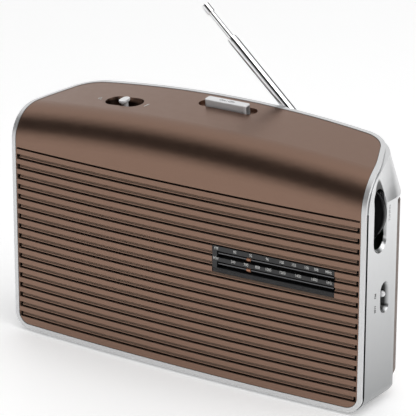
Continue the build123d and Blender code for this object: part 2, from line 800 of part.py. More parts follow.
inlet_face_y = front_y + 66.2
pin_offset = 4.2
pin_radius = 1.2
with BuildPart() as mains_inlet:
    with BuildSketch(Plane.XZ.offset(-inlet_face_y)):
        with Locations((inlet_x, inlet_z)):
            RectangleRounded(23.4, 13.4, 2.7)
    extrude(amount=16)
    with BuildSketch(Plane.XZ.offset(-inlet_face_y)):
        with Locations((inlet_x - 3.5, inlet_z), (inlet_x + 3.5, inlet_z)):
            Circle(4)
    extrude(amount=12, mode=Mode.SUBTRACT)
    with BuildSketch(Plane.XZ.offset(-inlet_face_y)):
        with Locations((inlet_x - pin_offset, inlet_z), (inlet_x + pin_offset, inlet_z)):
            Circle(pin_radius + 0.02)
    extrude(amount=20, mode=Mode.SUBTRACT)
save(mains_inlet.part, "mains_inlet")

with BuildPart() as inlet_pins:
    with BuildSketch(Plane.XZ.offset(-inlet_face_y + 14)):
        with Locations((inlet_x - pin_offset, inlet_z), (inlet_x + pin_offset, inlet_z)):
            Circle(pin_radius)
    extrude(amount=-11)
save(inlet_pins.part, "inlet_pins")

jack_face_y = front_y + 66.4
jack_bore = 1.8
with BuildPart() as headphone_socket:
    with BuildSketch(Plane.XZ.offset(-jack_face_y)):
        with Locations((jack_x, jack_z)):
            Circle(jack_radius - 0.05)
    extrude(amount=6)
    with BuildSketch(Plane.XZ.offset(-jack_face_y + 5)):
        with Locations((jack_x, jack_z)):
            RectangleRounded(12, 12, 1)
    extrude(amount=13)
    with BuildSketch(Plane.XZ.offset(-jack_face_y)):
        with Locations((jack_x, jack_z)):
            Circle(jack_bore)
    extrude(amount=15, mode=Mode.SUBTRACT)
save(headphone_socket.part, "headphone_socket")

# ---- medium wave rod antenna ----
ferrite_y = front_y + 56.0
ferrite_z = cover_base + 148.2
ferrite_radius = 5.0
with BuildPart() as ferrite_rod:
    with BuildSketch(Plane(origin=(-78, ferrite_y, ferrite_z), z_dir=(1, 0, 0))):
        Circle(ferrite_radius)
    extrude(amount=120)
save(ferrite_rod.part, "ferrite_rod")

with BuildPart() as ferrite_coil:
    with BuildSketch(Plane(origin=(-56, ferrite_y, ferrite_z), z_dir=(1, 0, 0))):
        Circle(ferrite_radius + 1.2)
        Circle(ferrite_radius + 0.05, mode=Mode.SUBTRACT)
    extrude(amount=28)
save(ferrite_coil.part, "ferrite_coil")

with BuildPart() as ferrite_clips:
    for across in (-72, 30):
        with BuildSketch(Plane(origin=(across, ferrite_y, ferrite_z - 7), z_dir=(0, 0, 1))):
            Rectangle(6, 14)
        extrude(amount=13.2)
    with BuildSketch(Plane(origin=(-100, ferrite_y, ferrite_z), z_dir=(1, 0, 0))):
        Circle(ferrite_radius + 0.05)
    extrude(amount=160, mode=Mode.SUBTRACT)
save(ferrite_clips.part, "ferrite_clips")

# ---- batteries ----
cell_radius = 16.8
cell_length = 61.0
cell_y = front_y + 43.6
cell_z = rear_low + wall + 3.4 + cell_radius
tray_half = 127.0
tray_low = rear_low + wall + 1.6
tray_front = front_y + 25.0
tray_rear = front_y + 60.2
tray_height = 37.2
with BuildPart() as battery_tray:
    with BuildSketch(Plane.YZ.offset(-tray_half)):
        with Locations((tray_front, tray_low)):
            Rectangle(tray_rear - tray_front, tray_height, align=(Align.MIN, Align.MIN))
    extrude(amount=2 * tray_half)
    with BuildSketch(Plane.YZ.offset(-tray_half + 1.5)):
        with Locations((tray_front + 1.5, tray_low + 1.5)):
            Rectangle(40, tray_height - 3, align=(Align.MIN, Align.MIN))
    extrude(amount=2 * tray_half - 3, mode=Mode.SUBTRACT)
save(battery_tray.part, "battery_tray")

cells_start = -tray_half + 1.5 + 4.9
with BuildPart() as battery_cells:
    for index in range(4):
        start = cells_start + index * (cell_length + 0.4)
        with BuildSketch(Plane(origin=(start, cell_y, cell_z), z_dir=(1, 0, 0))):
            Circle(cell_radius)
        extrude(amount=cell_length - 1.5)
        with BuildSketch(Plane(origin=(start + cell_length - 1.5, cell_y, cell_z), z_dir=(1, 0, 0))):
            Circle(4.5)
        extrude(amount=1.5)
save(battery_cells.part, "battery_cells")

with BuildPart() as battery_contacts:
    for side in (-1, 1):
        with BuildSketch(Plane(origin=(side * (tray_half - 1.5), cell_y, cell_z), x_dir=(0, 1, 0),
                               z_dir=(-side, 0, 0))):
            Rectangle(20, 24)
        extrude(amount=0.5)
save(battery_contacts.part, "battery_contacts")

with BuildPart() as contact_spring:
    with BuildLine():
        coil = Helix(pitch=1.4, height=3.6, radius=6, center=(-tray_half + 2.45, cell_y, cell_z),
                     direction=(1, 0, 0))
    with BuildSketch(Plane(origin=coil @ 0, z_dir=coil % 0)):
        Circle(0.4)
    sweep(is_frenet=True)
save(contact_spring.part, "contact_spring")

# ---- telescopic antenna ----
lean = math.radians(antenna_angle)
along = Vector(-math.cos(lean), 0, math.sin(lean))
across = Vector(math.sin(lean), 0, math.cos(lean))
pivot = Vector(antenna_x, antenna_y, antenna_z)
tube_radius = 4.0
tube_bore = 3.55
tube_start = 5.6
mouth = 88.6
middle_radius = 3.2
middle_bore = 2.55
inner_radius = 2.2
inner_in = 55.0
inner_out = 23.3
tip_radius = 3.15
tip_length = 8.0
cheek_radius = 3.6


def antenna_plane(distance):
    """Plane square to the antenna at a distance from its pivot."""
    return Plane(origin=pivot + along * distance, x_dir=(0, 1, 0), z_dir=along)


def turned_tube(start, length, outer, bore):
    """A length of round tube along the antenna; a bore of 0 leaves it solid."""
    with BuildPart() as tube:
        with BuildSketch(antenna_plane(start)):
            Circle(outer)
            if bore:
                Circle(bore, mode=Mode.SUBTRACT)
        extrude(amount=length)
    return tube.part


with BuildPart() as antenna_swivel:
    # round foot that turns in the opening, with a collar behind the wall and two cheeks
    with BuildSketch(Plane(origin=(antenna_x, ledge_y - 4.4, antenna_z), x_dir=(1, 0, 0), z_dir=(0, 1, 0))):
        Circle(swivel_radius)
    extrude(amount=4.2)
    with BuildSketch(Plane(origin=(antenna_x, ledge_y - 5.2, antenna_z), x_dir=(1, 0, 0), z_dir=(0, 1, 0))):
        Circle(swivel_radius + 2)
    extrude(amount=2.2)
    for side in (-1, 1):
        cheek = Plane(origin=pivot + across * (side * 3.1 - 0.8), x_dir=(0, 1, 0), z_dir=across)
        with BuildSketch(cheek):
            Circle(cheek_radius)
            with Locations((0, 0)):
                Rectangle(4.7, 2 * cheek_radius, align=(Align.MAX, Align.CENTER))
        extrude(amount=1.6)
    with BuildSketch(Plane(origin=pivot - across * 6, z_dir=across)):
        Circle(1.05)
    extrude(amount=12, mode=Mode.SUBTRACT)
save(antenna_swivel.part, "antenna_swivel")

with BuildPart() as antenna_pin:
    with BuildSketch(Plane(origin=pivot - across * 4.2, z_dir=across)):
        Circle(1.0)
    extrude(amount=8.4)
save(antenna_pin.part, "antenna_pin")

with BuildPart() as antenna_base:
    add(turned_tube(tube_start, mouth - tube_start - 3, tube_radius, 0))
    with BuildSketch(antenna_plane(mouth - 3)):
        Circle(tube_radius)
    with BuildSketch(antenna_plane(mouth)):
        Circle(tube_radius - 0.25)
    loft()
    with BuildSketch(Plane(origin=pivot - across * 1.95, x_dir=(0, 1, 0), z_dir=across)):
        Circle(3.3)
        with Locations((0, 0)):
            Rectangle(6.6, tube_start + 1, align=(Align.CENTER, Align.MIN))
    extrude(amount=3.9)
    add(turned_tube(tube_start + 3, mouth, tube_bore, 0), mode=Mode.SUBTRACT)
    with BuildSketch(Plane(origin=pivot - across * 6, z_dir=across)):
        Circle(1.05)
    extrude(amount=12, mode=Mode.SUBTRACT)
save(antenna_base.part, "antenna_base_tube")

save(turned_tube(tube_start + 3.4, mouth - tube_start - 3.4, middle_radius, middle_bore), "antenna_middle")
save(turned_tube(mouth - inner_in, inner_in + inner_out, inner_radius, 0), "antenna_inner")
with BuildPart() as antenna_tip:
    add(turned_tube(mouth + inner_out, tip_length, tip_radius, 0))
    fillet(antenna_tip.edges().filter_by(GeomType.CIRCLE), 0.5)
save(antenna_tip.part, "antenna_tip")
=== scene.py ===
import math

import bpy
from mathutils import Matrix, Vector


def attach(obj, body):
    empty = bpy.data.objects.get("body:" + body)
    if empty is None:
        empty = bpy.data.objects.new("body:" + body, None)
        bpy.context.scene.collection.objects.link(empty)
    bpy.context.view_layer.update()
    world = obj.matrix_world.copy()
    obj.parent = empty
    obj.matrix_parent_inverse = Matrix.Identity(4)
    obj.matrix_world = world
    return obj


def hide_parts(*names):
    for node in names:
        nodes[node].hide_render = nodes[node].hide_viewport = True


# Looks for the louvred portable radio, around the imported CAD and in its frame. Blender works in
# metres; the sizes below, and the places given to the helpers, are in mm.
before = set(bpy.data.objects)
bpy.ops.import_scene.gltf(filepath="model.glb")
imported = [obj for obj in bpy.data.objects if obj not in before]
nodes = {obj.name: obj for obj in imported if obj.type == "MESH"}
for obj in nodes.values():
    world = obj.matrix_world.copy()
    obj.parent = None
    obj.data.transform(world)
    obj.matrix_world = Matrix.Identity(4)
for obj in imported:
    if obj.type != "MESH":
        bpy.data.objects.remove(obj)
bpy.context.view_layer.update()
MM = 0.001

# ---------------------------------------------------------------- sizes shared with the part
HALF_WIDTH = 150.0
COVER_HALF = 146.0
FRONT_BOW = 4.5
FRONT_Y = -37.35
BASE = 5.7
FLAT_HEIGHT = 141.0
EDGE_RADIUS = 26.0
TOP_CROWN = 9.0
SLOPE = math.radians(7)
SIDE_RADIUS = 3000.0
BOW_RADIUS = (COVER_HALF**2 + FRONT_BOW**2) / (2 * FRONT_BOW)
CROWN_RADIUS = (COVER_HALF**2 + TOP_CROWN**2) / (2 * TOP_CROWN)


def front_y(x):
    """Y of the bowed front surface, mm."""
    return FRONT_Y - FRONT_BOW + BOW_RADIUS - math.sqrt(BOW_RADIUS**2 - x**2)


def top_z(x, y):
    """Z of the sloping, crowned top surface, mm."""
    run = y - FRONT_Y - EDGE_RADIUS * (1 - math.sin(SLOPE))
    middle = BASE + FLAT_HEIGHT + EDGE_RADIUS * math.cos(SLOPE) + TOP_CROWN
    crown_drop = CROWN_RADIUS - math.sqrt(CROWN_RADIUS**2 - x**2)
    return middle + (run + FRONT_BOW) * math.tan(SLOPE) - crown_drop


# ---------------------------------------------------------------- materials
class Shader:
    """A Principled material built from noise in object coordinates."""

    def __init__(self, name, colour, roughness, metallic=0.0):
        self.material = bpy.data.materials.new(name)
        self.material.use_nodes = True
        self.material.diffuse_color = (*colour, 1)
        self.tree = self.material.node_tree
        self.shader = self.tree.nodes["Principled BSDF"]
        self.shader.inputs["Base Color"].default_value = (*colour, 1)
        self.shader.inputs["Roughness"].default_value = roughness
        self.shader.inputs["Metallic"].default_value = metallic
        self.colour = colour
        self.roughness = roughness
        self.coord = self.tree.nodes.new("ShaderNodeTexCoord").outputs["Object"]
        self.normal = None

    def node(self, kind, **values):
        made = self.tree.nodes.new(kind)
        for key, value in values.items():
            setattr(made, key, value)
        return made

    def link(self, a, b):
        self.tree.links.new(a, b)

    def noise(self, scale, detail):
        """Noise with scale waves to the metre and detail finer layers."""
        texture = self.node("ShaderNodeTexNoise")
        texture.inputs["Scale"].default_value = scale
        texture.inputs["Detail"].default_value = detail
        self.link(self.coord, texture.inputs["Vector"])
        return texture.outputs["Fac"]

    def spread(self, value, low, high, start=0.3, end=0.7):
        """Map start..end, by default the middle of a noise, onto low..high."""
        scaled = self.node("ShaderNodeMapRange", clamp=True)
        scaled.inputs["From Min"].default_value = start
        scaled.inputs["From Max"].default_value = end
        scaled.inputs["To Min"].default_value = low
        scaled.inputs["To Max"].default_value = high
        self.link(value, scaled.inputs["Value"])
        return scaled.outputs["Result"]

    def mottle(self, source, dark, light):
        """Base colour varied between dark and light times the colour."""
        mix = self.node("ShaderNodeMix", data_type="RGBA")
        mix.inputs["A"].default_value = (*[c * dark for c in self.colour], 1)
        mix.inputs["B"].default_value = (*[min(1.0, c * light) for c in self.colour], 1)
        self.link(source, mix.inputs["Factor"])
        self.link(mix.outputs["Result"], self.shader.inputs["Base Color"])

    def cover(self, mask, colour):
        """Blend another colour over the base colour where the mask is high."""
        mix = self.node("ShaderNodeMix", data_type="RGBA")
        mix.inputs["B"].default_value = (*colour, 1)
        self.link(self.shader.inputs["Base Color"].links[0].from_socket, mix.inputs["A"])
        self.link(mask, mix.inputs["Factor"])
        self.link(mix.outputs["Result"], self.shader.inputs["Base Color"])

    def rough(self, source, reach):
        """Roughness varied by reach to either side of its value."""
        value = self.spread(source, max(0.02, self.roughness - reach), self.roughness + reach)
        self.link(value, self.shader.inputs["Roughness"])

    def bump(self, source, height, strength):
        """Bump of a height in metres, laid over the ones before it."""
        bump = self.node("ShaderNodeBump")
        bump.inputs["Distance"].default_value = height
        bump.inputs["Strength"].default_value = strength
        self.link(source, bump.inputs["Height"])
        if self.normal is not None:
            self.link(self.normal, bump.inputs["Normal"])
        self.normal = bump.outputs["Normal"]
        self.link(self.normal, self.shader.inputs["Normal"])

    def soften(self, radius):
        """Round the shading at sharp edges by a radius in metres."""
        bevel = self.node("ShaderNodeBevel", samples=6)
        bevel.inputs["Radius"].default_value = radius
        self.normal = bevel.outputs["Normal"]
        self.link(self.normal, self.shader.inputs["Normal"])

    def coordinate(self, axis):
        """One of the object coordinates, metres."""
        split = self.node("ShaderNodeSeparateXYZ")
        self.link(self.coord, split.inputs["Vector"])
        return split.outputs[axis]

    def product(self, first, second):
        """Where both masks are high."""
        times = self.node("ShaderNodeMath", operation="MULTIPLY")
        self.link(first, times.inputs[0])
        self.link(second, times.inputs[1])
        return times.outputs["Value"]

    def within(self, centre, reach, soft):
        """1 inside an ellipsoid given in mm, fading to 0 over the soft share of its size."""
        shifted = self.node("ShaderNodeVectorMath", operation="SUBTRACT")
        self.link(self.coord, shifted.inputs[0])
        shifted.inputs[1].default_value = [c * MM for c in centre]
        scaled = self.node("ShaderNodeVectorMath", operation="DIVIDE")
        self.link(shifted.outputs["Vector"], scaled.inputs[0])
        scaled.inputs[1].default_value = [r * MM for r in reach]
        far = self.node("ShaderNodeVectorMath", operation="LENGTH")
        self.link(scaled.outputs["Vector"], far.inputs[0])
        return self.spread(far.outputs["Value"], 1, 0, 1 - soft, 1)

    def below(self, height):
        """1 below a height in mm."""
        low = self.node("ShaderNodeMath", operation="LESS_THAN")
        self.link(self.coordinate("Z"), low.inputs[0])
        low.inputs[1].default_value = height * MM
        return low.outputs["Value"]

    def depth_band(self, middle, reach):
        """1 in a band of depth in mm behind the bowed front, on its flat part only."""
        side = self.coordinate("X")
        bow = self.node("ShaderNodeMath", operation="MULTIPLY")
        self.link(self.product(side, side), bow.inputs[0])
        bow.inputs[1].default_value = 0.5 / (BOW_RADIUS * MM)
        depth = self.node("ShaderNodeMath", operation="SUBTRACT")
        self.link(self.coordinate("Y"), depth.inputs[0])
        self.link(bow.outputs["Value"], depth.inputs[1])
        near = self.node("ShaderNodeMath", operation="COMPARE")
        self.link(depth.outputs["Value"], near.inputs[0])
        near.inputs[1].default_value = (FRONT_Y - FRONT_BOW + middle) * MM
        near.inputs[2].default_value = reach * MM
        return self.product(near.outputs["Value"], self.below(BASE + FLAT_HEIGHT))


def lacquer(name, colour, roughness, metallic, edge=0.0):
    """The Shader, open to masks, of a metallic lacquer: fine flake and a faint unevenness.

    The large pieces have no softened edges, because that left specks on them.
    """
    look = Shader(name, colour, roughness, metallic)
    if edge:
        look.soften(edge)
    look.mottle(look.spread(look.noise(5200, 1), 0, 1), dark=0.95, light=1.05)
    look.rough(look.noise(160, 5), reach=0.025)
    look.bump(look.noise(700, 2), height=0.000003, strength=0.3)
    return look


def plastic(name, colour, roughness, grain=900, height=0.00003, edge=0.0003):
    """Moulded plastic with a fine grain and small differences in gloss."""
    look = Shader(name, colour, roughness)
    look.soften(edge)
    look.mottle(look.spread(look.noise(60, 4), 0, 1), dark=0.9, light=1.1)
    look.rough(look.noise(210, 4), reach=0.06)
    look.bump(look.noise(grain, 2), height, strength=0.4)
    return look.material


def metal(name, colour, roughness):
    """Bare or plated metal, a little uneven in tone and gloss."""
    look = Shader(name, colour, roughness, metallic=1.0)
    look.soften(0.0002)
    look.mottle(look.spread(look.noise(120, 3), 0, 1), dark=0.93, light=1.05)
    look.rough(look.noise(260, 4), reach=0.035)
    look.bump(look.noise(700, 3), height=0.000008, strength=0.35)
    return look.material


def rubber(name, colour):
    """Matt rubber with a coarse grain."""
    look = Shader(name, colour, roughness=0.75)
    look.mottle(look.spread(look.noise(150, 5), 0, 1), dark=0.75, light=1.3)
    look.bump(look.noise(1500, 3), height=0.00005, strength=0.5)
    return look.material


def wound(name, colour):
    """Enamelled copper wire wound side by side along X."""
    look = Shader(name, colour, roughness=0.32, metallic=0.85)
    turns = look.node("ShaderNodeTexWave", bands_direction="X")
    turns.inputs["Scale"].default_value = 520
    look.link(look.coord, turns.inputs["Vector"])
    look.mottle(turns.outputs["Fac"], dark=0.55, light=1.15)
    look.bump(turns.outputs["Fac"], height=0.00012, strength=0.8)
    return look.material


def cloth(name, colour):
    """Plain woven cloth, its threads along X and Z."""
    look = Shader(name, colour, roughness=0.9)
    warp = look.node("ShaderNodeTexWave", bands_direction="X")
    weft = look.node("ShaderNodeTexWave", bands_direction="Z")
    for wave in (warp, weft):
        wave.inputs["Scale"].default_value = 420
        wave.inputs["Distortion"].default_value = 0.6
        look.link(look.coord, wave.inputs["Vector"])
    weave = look.node("ShaderNodeMath", operation="MAXIMUM")
    look.link(warp.outputs["Fac"], weave.inputs[0])
    look.link(weft.outputs["Fac"], weave.inputs[1])
    look.mottle(weave.outputs["Value"], dark=0.6, light=1.4)
    look.bump(weave.outputs["Value"], height=0.00015, strength=0.8)
    return look.material


def dial_material():
    """Black dial with fine horizontal ribs in its lower strip."""
    look = Shader("dial black", (0.014, 0.014, 0.015), roughness=0.22)
    ribs = look.node("ShaderNodeTexWave", bands_direction="Z")
    ribs.inputs["Scale"].default_value = 480
    look.link(look.coord, ribs.inputs["Vector"])
    look.mottle(look.spread(look.noise(90, 3), 0, 1), dark=0.85, light=1.2)
    look.rough(look.noise(240, 4), reach=0.05)
    look.bump(look.product(ribs.outputs["Fac"], look.below(BASE + RIBS_TOP)), height=0.0002, strength=0.8)
    look.bump(look.noise(900, 2), height=0.00001, strength=0.3)
    return look.material


BROWN = (0.245, 0.152, 0.112)
# paler brown painted on the sloping facets between the slots as painted light
FACET_PAINTED_LIGHT_BROWN = (0.36, 0.252, 0.19)
# near-black brown painted in the slider well as painted shade
PAINTED_SHADE_BROWN = (0.020, 0.011, 0.008)
SILVER = (0.74, 0.745, 0.75)
# grey painted on the shell's lower part as painted shade
PAINTED_SHADE_SILVER = (0.30, 0.305, 0.31)
# near-black grey painted in the groove and hollows as painted shade
PAINTED_SHADE_GREY = (0.030, 0.030, 0.030)
BROWN_METALLIC = 0.95
# lower metallic on the facets, part of their painted light
FACET_METALLIC = 0.30

# height above the cover's base up to which the dial is ribbed, mm
RIBS_TOP = 81.6

# bands of depth behind the bowed front, mm: the middle of each and its reach to either side
# FACET_BAND is where the sloping facets are painted paler as painted light
FACET_BAND = (1.15, 0.38)
# GROOVE_SHADE_BAND is where the groove behind the front edge is painted dark as painted shade
GROOVE_SHADE_BAND = (2.45, 0.47)

# the volume slider's well, mm: its middle, and the depths below its edge between which painted shade
# darkens it
WELL_X = -74.0
WELL_Y = FRONT_Y + 35.0
WELL_LIGHT = 0.8
WELL_DARK = 2.6

# heights between which the shell's painted shade fades from its deepest grey to none, mm
SHELL_SHADE_DEEP = 4.0
SHELL_SHADE_END = 135.0

# brown front cover: sloping facets between the slots painted paler and less metallic as painted light,
# painted shade in the slider well
brown_shader = lacquer("brown lacquer", BROWN, 0.31, BROWN_METALLIC)
well_z = top_z(WELL_X, WELL_Y - 1)
# painted shade darkening the slider well below its edge
brown_shader.cover(brown_shader.product(
    brown_shader.within((WELL_X, WELL_Y, well_z), reach=(19, 11, 12), soft=0.3),
    brown_shader.spread(brown_shader.coordinate("Z"), 1, 0,
                        (well_z - WELL_DARK) * MM, (well_z - WELL_LIGHT) * MM)),
    PAINTED_SHADE_BROWN)
# painted light: the sloping facets painted paler and less metallic, standing in for the light they catch
facet_painted_light = brown_shader.depth_band(*FACET_BAND)
brown_shader.cover(facet_painted_light, FACET_PAINTED_LIGHT_BROWN)
brown_shader.link(brown_shader.spread(facet_painted_light, BROWN_METALLIC, FACET_METALLIC, 0, 1),
                  brown_shader.shader.inputs["Metallic"])
brown = brown_shader.material

# silver surround: painted shade in the groove behind its front edge
surround_shader = lacquer("silver lacquer", SILVER, 0.30, 0.6)
surround_shader.cover(surround_shader.depth_band(*GROOVE_SHADE_BAND), PAINTED_SHADE_GREY)
silver = surround_shader.material

# silver shell: painted shade, greyer towards its base, and the same painted shade in its groove
shell_shader = lacquer("silver shell lacquer", SILVER, 0.30, 0.92)
shell_shader.cover(shell_shader.spread(shell_shader.coordinate("Z"), 1, 0,
                                       SHELL_SHADE_DEEP * MM, SHELL_SHADE_END * MM), PAINTED_SHADE_SILVER)
shell_shader.cover(shell_shader.depth_band(*GROOVE_SHADE_BAND), PAINTED_SHADE_GREY)

# painted shade in the hollows in the shell's right side, the band switch's recess and the tuning wheel's
# slot:
# their middle and reach, and the x between which they fade, mm
for middle, reach, dark_x, light_x in (
        ((147, FRONT_Y + 27.9, BASE + 74.7), (9, 7, 12.5), 147.2, 149.6),
        ((147, FRONT_Y + 19.4, BASE + 140), (9, 9, 22), 149.0, 149.6)):
    # painted shade darkening each hollow towards its inside
    shell_shader.cover(shell_shader.product(
        shell_shader.within(middle, reach, soft=0.1),
        shell_shader.spread(shell_shader.coordinate("X"), 1, 0, dark_x * MM, light_x * MM)), PAINTED_SHADE_GREY)
shell_silver = shell_shader.material

back_brown = plastic("brown moulding", (0.110, 0.066, 0.046), 0.42, 1600, 0.00004)
bright = lacquer("bright silver control", (0.86, 0.86, 0.87), 0.24, 0.12, edge=0.0002).material
wheel_black = plastic("wheel gloss black", (0.020, 0.020, 0.021), 0.14, 500, 0.00001)
black = plastic("black moulding", (0.022, 0.022, 0.023), 0.45)
chrome = metal("antenna chrome", (0.88, 0.88, 0.89), 0.04)
steel = metal("plated steel", (0.52, 0.52, 0.53), 0.28)
screw_black = metal("blackened screw", (0.08, 0.08, 0.08), 0.35)
rod_steel = metal("dial rod", (0.16, 0.16, 0.165), 0.30)
copper_bead = lacquer("pointer copper", (0.46, 0.21, 0.12), 0.28, 0.35, edge=0.0003).material
board = plastic("circuit board", (0.018, 0.085, 0.040), 0.35, 1200)
ferrite = plastic("ferrite", (0.035, 0.033, 0.032), 0.5, 700, 0.00006)
winding = wound("wound copper", (0.50, 0.21, 0.10))
cone = cloth("cone paper", (0.02, 0.02, 0.02))
speaker_cloth = cloth("grille cloth", (0.010, 0.009, 0.009))
jacket = plastic("cell jacket", (0.05, 0.07, 0.16), 0.25, 300, 0.00001)
tuner = plastic("tuner case", (0.55, 0.55, 0.50), 0.30, 300, 0.00001)
foot = rubber("foot rubber", (0.025, 0.025, 0.025))
swivel = metal("swivel nickel", (0.35, 0.35, 0.36), 0.22)
dial = dial_material()

LOOKS = {
    "front_cover": brown, "rear_cover": back_brown, "battery_door": back_brown,
    "surround": silver, "shell": shell_silver,
    "volume_nub": bright, "band_nub": bright, "power_key": bright,
    "tuning_wheel": wheel_black, "dial_plate": dial, "dial_rods": rod_steel, "pointer": copper_bead,
    "case_screws": screw_black, "speaker_screws": screw_black, "tuning_shaft": steel,
    "contact_spring": steel, "inlet_pins": steel, "battery_contacts": steel,
    "speaker_basket": black, "transformer_core": steel,
    "antenna_base_tube": chrome, "antenna_middle": chrome, "antenna_inner": chrome,
    "antenna_tip": chrome, "antenna_pin": chrome, "antenna_swivel": swivel,
    "feet": foot, "main_board": board, "board_components": black, "power_switch": black,
    "band_switch": black, "volume_slider_body": black, "mains_inlet": black,
    "headphone_socket": black, "battery_tray": black, "board_posts": black, "ferrite_clips": black,
    "ferrite_rod": ferrite, "speaker_magnet": ferrite, "ferrite_coil": winding,
    "transformer_coil": winding, "speaker_cone": cone, "speaker_dust_cap": cone,
    "grille_cloth": speaker_cloth, "battery_cells": jacket, "tuning_capacitor": tuner,
}

# ---------------------------------------------------------------- the CAD meshes
# A corner normal agrees with its face above this cosine.
NORMAL_AGREES = 0.9

# A corner lies on the bowed front within ON_BOW, and a triangle whose middle is more than TWISTED
# behind it is twisted, mm.
ON_BOW = 0.03
TWISTED = 0.1

# what a row of faces may differ by in height, metres, and in area, as a share of it
ROW_SLACK = 0.00002
AREA_SLACK = 0.02


def bow_gap(point):
    """How far a point in metres lies behind the bowed front surface, mm."""
    return point.y / MM - front_y(point.x / MM)


def mended_normals(mesh):
    """The corner normals, with the face's own where one points elsewhere."""
    mended = [corner.vector.copy() for corner in mesh.corner_normals]
    for polygon in mesh.polygons:
        for index in polygon.loop_indices:
            if mended[index].dot(polygon.normal) < NORMAL_AGREES:
                mended[index] = polygon.normal.copy()
    return mended


def strip(low, high, points):
    """Triangles between two rows of vertices, both sorted from left to right."""
    made = []
    a = 0
    b = 0
    while a < len(low) - 1 or b < len(high) - 1:
        low_left = a < len(low) - 1
        high_left = b < len(high) - 1
        if not high_left or (low_left and points[low[a + 1]].x <= points[high[b + 1]].x):
            made.append([low[a], low[a + 1], high[b]])
            a += 1
        else:
            made.append([low[a], high[b + 1], high[b]])
            b += 1
    return made


def front_area(points, corners):
    """Area of a triangle as seen square on from the front."""
    a, b, c = [points[corner] for corner in corners]
    return abs((b.x - a.x) * (c.z - a.z) - (c.x - a.x) * (b.z - a.z)) / 2


def even_rows(mesh, points, flat):
    """The louvre bars whose front face has twisted triangles, which cut behind the bow.

    Gives (indices of the old polygons, new triangles) for each, by its lowest and highest z. A bar
    is left alone unless the new triangles fill the same outline as the old ones.
    """
    rows = set()
    for polygon in mesh.polygons:
        if flat[polygon.index] and bow_gap(polygon.center) > TWISTED:
            heights = [points[corner].z for corner in polygon.vertices]
            rows.add((round(min(heights), 5), round(max(heights), 5)))
    found = {}
    for row in sorted(rows):
        bottom = row[0] - ROW_SLACK
        top = row[1] + ROW_SLACK
        old = [polygon for polygon in mesh.polygons if flat[polygon.index]
               and all(bottom < points[corner].z < top for corner in polygon.vertices)]
        corners = sorted({corner for polygon in old for corner in polygon.vertices},
                         key=lambda corner: (points[corner].x, corner))
        middle = (row[0] + row[1]) / 2
        low = [corner for corner in corners if points[corner].z < middle]
        high = [corner for corner in corners if points[corner].z > middle]
        if len(low) < 2 or len(high) < 2 or any(len(polygon.vertices) != 3 for polygon in old):
            continue
        new = strip(low, high, points)
        before = sum(front_area(points, polygon.vertices) for polygon in old)
        after = sum(front_area(points, face) for face in new)
        if abs(after - before) < AREA_SLACK * before:
            found[row] = ({polygon.index for polygon in old}, new)
    return found


def fine_cover(node):
    """The front cover with its twisted bars laid again along the bow."""
    mesh = node.data
    points = [vertex.co for vertex in mesh.vertices]
    normals = mended_normals(mesh)
    flat = [all(abs(bow_gap(points[corner])) < ON_BOW for corner in polygon.vertices)
            for polygon in mesh.polygons]
    bowed = [Vector((point.x / MM, -BOW_RADIUS, 0)).normalized() for point in points]
    rows = even_rows(mesh, points, flat)
    dropped = {index for old, _ in rows.values() for index in old}
    faces = []
    shading = []
    for polygon in mesh.polygons:
        if polygon.index in dropped:
            continue
        faces.append(list(polygon.vertices))
        for index, corner in zip(polygon.loop_indices, polygon.vertices):
            shading.append(bowed[corner] if flat[polygon.index] else normals[index])
    for _, new in rows.values():
        faces += new
        shading += [bowed[corner] for face in new for corner in face]
    fine = bpy.data.meshes.new("front_cover_fine")
    fine.from_pydata([tuple(point) for point in points], [], faces)
    fine.polygons.foreach_set("use_smooth", [True] * len(faces))
    fine.normals_split_custom_set(shading)
    cover = bpy.data.objects.new("front_cover_fine", fine)
    bpy.context.scene.collection.objects.link(cover)
    cover.matrix_world = node.matrix_world.copy()
    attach(cover, "case")
    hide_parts("front_cover")
    return cover


for name, look in LOOKS.items():
    mesh = nodes[name].data
    mesh.materials.clear()
    mesh.materials.append(look)
    mesh.normals_split_custom_set(mended_normals(mesh))
fine_cover(nodes["front_cover"]).data.materials.append(brown)

# ---------------------------------------------------------------- printing
# half the ink's thickness, metres
INK_HALF = 0.00003


def ink(name, colour, roughness):
    """Printing ink, with the finest grain and edge."""
    return plastic(name, colour, roughness, 2500, 0.000004, edge=0.00002)


ink_white = ink("white print", (0.62, 0.62, 0.60), 0.5)
ink_grey = ink("grey print", (0.035, 0.035, 0.035), 0.55)
ink_faint = ink("faint grey print", (0.22, 0.22, 0.22), 0.5)


def letters(text, cap, place, across, up, squeeze):
    """Mesh of flat lettering with capitals cap high, its middle at place, all in mm.

    across and up are the directions of its lines and of its height.
    """
    curve = bpy.data.curves.new("letters", "FONT")
    curve.body = text
    curve.align_x = "CENTER"
    curve.align_y = "CENTER"
    curve.offset = 0.012
    curve.extrude = 0.02
    holder = bpy.data.objects.new("letters", curve)
    bpy.context.scene.collection.objects.link(holder)
    bpy.context.view_layer.update()
    evaluated = holder.evaluated_get(bpy.context.evaluated_depsgraph_get())
    mesh = bpy.data.meshes.new_from_object(evaluated)
    bpy.data.objects.remove(holder)
    xs = [v.co.x for v in mesh.vertices]
    ys = [v.co.y for v in mesh.vertices]
    middle = Vector(((min(xs) + max(xs)) / 2, (min(ys) + max(ys)) / 2, 0))
    size = cap * MM / (max(ys) - min(ys))
    across = Vector(across).normalized()
    up = Vector(up).normalized()
    out = across.cross(up)
    origin = Vector(place) * MM
    for vertex in mesh.vertices:
        p = vertex.co - middle
        vertex.co = (origin + across * (p.x * size * squeeze) + up * (p.y * size)
                     + out * (INK_HALF if p.z > 0 else -INK_HALF))
    return mesh


